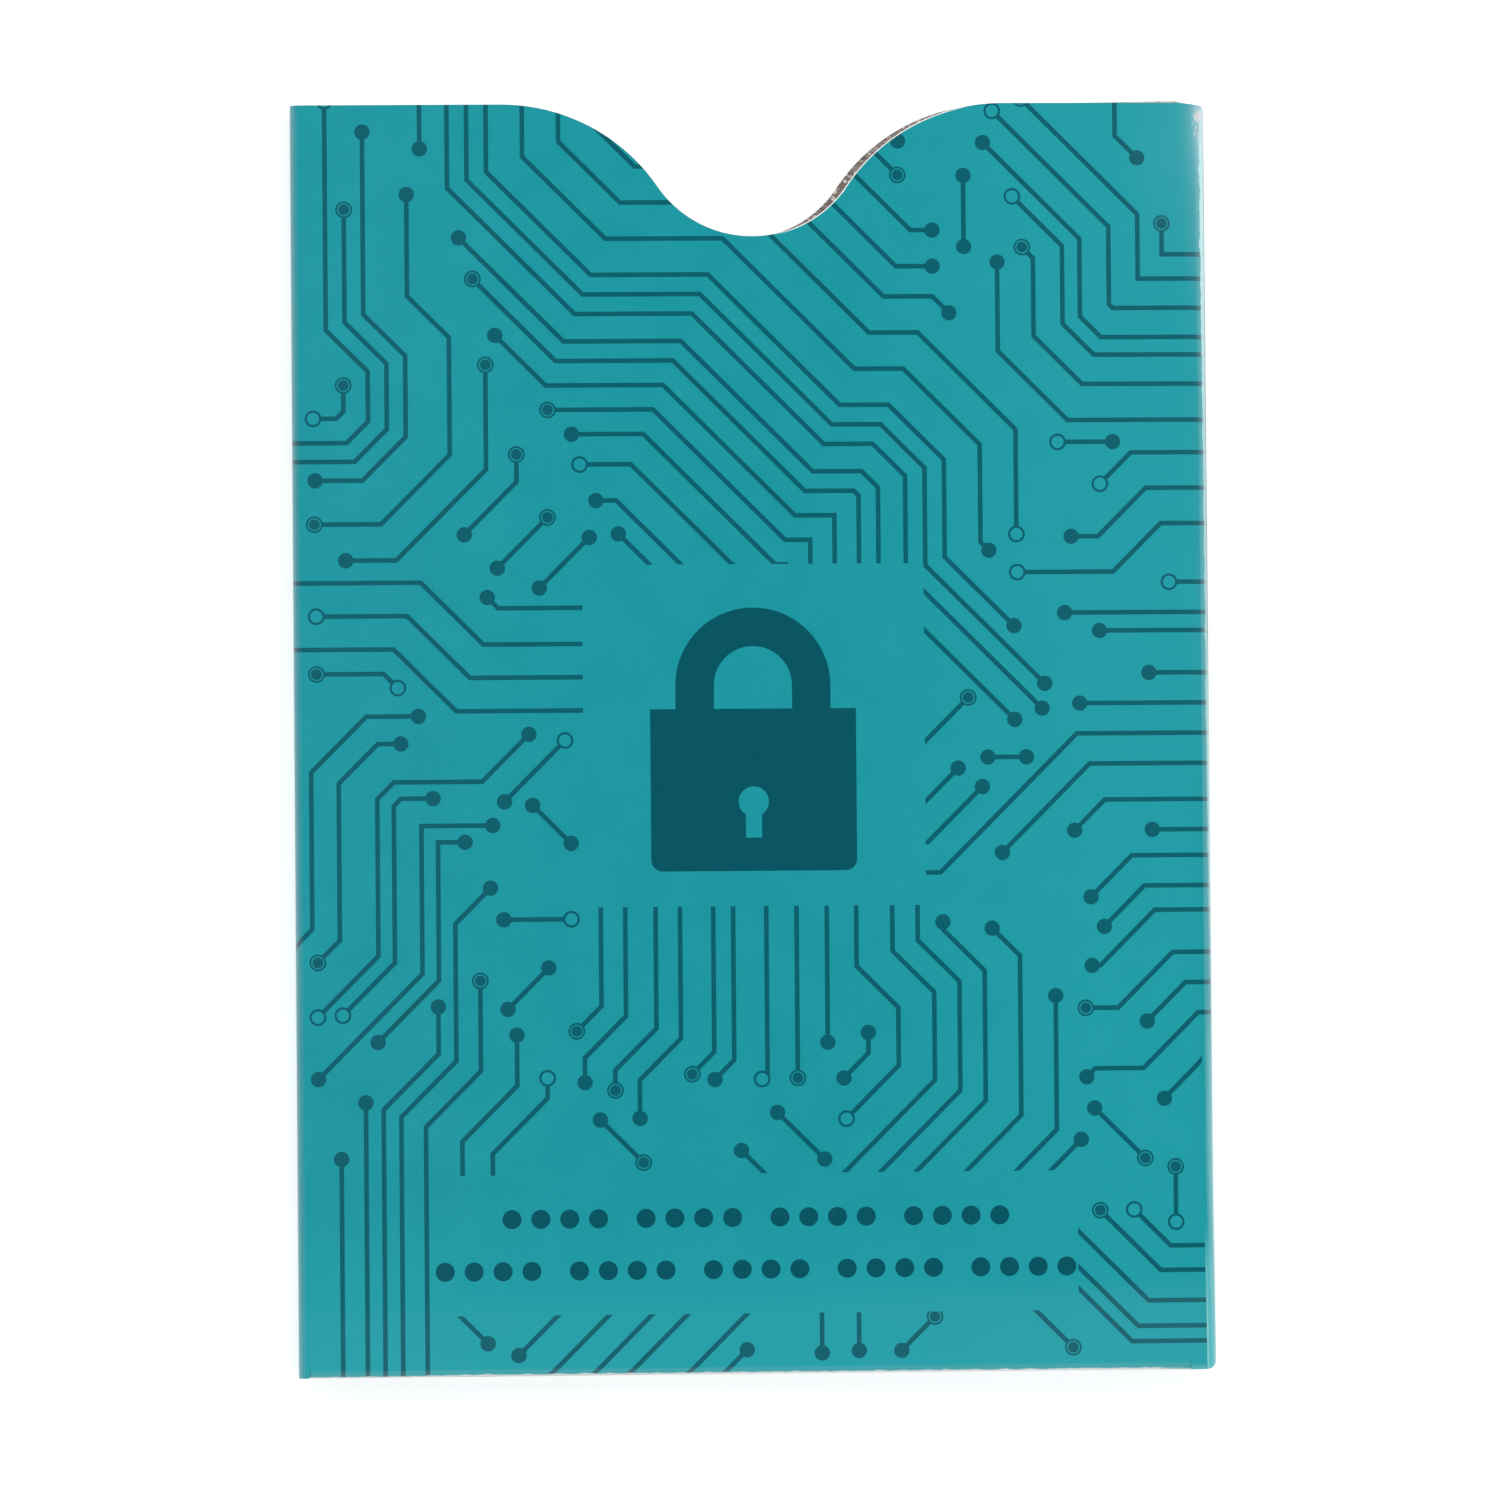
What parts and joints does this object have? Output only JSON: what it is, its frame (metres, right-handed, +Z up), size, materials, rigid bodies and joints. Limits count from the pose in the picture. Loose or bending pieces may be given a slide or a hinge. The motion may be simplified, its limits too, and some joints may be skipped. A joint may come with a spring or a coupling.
{
  "type": "travel document cover",
  "caption": "Slim folded card cover for a passport, foil-lined, open at one short end with a round thumb notch, glued along one side and the foot.",
  "frame": {"origin": "middle of the underside of the bounding box, with the cover lying on its back panel", "axes": "+X across the cover towards its glued side fold, +Y out of the open mouth, +Z up out of the printed front"},
  "size_m": [0.094, 0.131, 0.0062],
  "materials": {
    "printed_card": "gloss laminated print",
    "foil_lining": "satin",
    "glue": "matte"
  },
  "bodies": {
    "root": {"front_panel": "printed_card", "left_fold": "printed_card", "back_panel": "printed_card", "right_fold": "printed_card", "side_glue_flap": "printed_card", "bottom_fold": "printed_card", "bottom_glue_flap": "printed_card", "front_foil": "foil_lining", "left_fold_foil": "foil_lining", "back_foil": "foil_lining", "right_fold_foil": "foil_lining", "side_flap_foil": "foil_lining", "bottom_fold_foil": "foil_lining", "bottom_flap_foil": "foil_lining", "side_glue_line": "glue", "bottom_glue_line": "glue"}
  },
  "joints": []
}
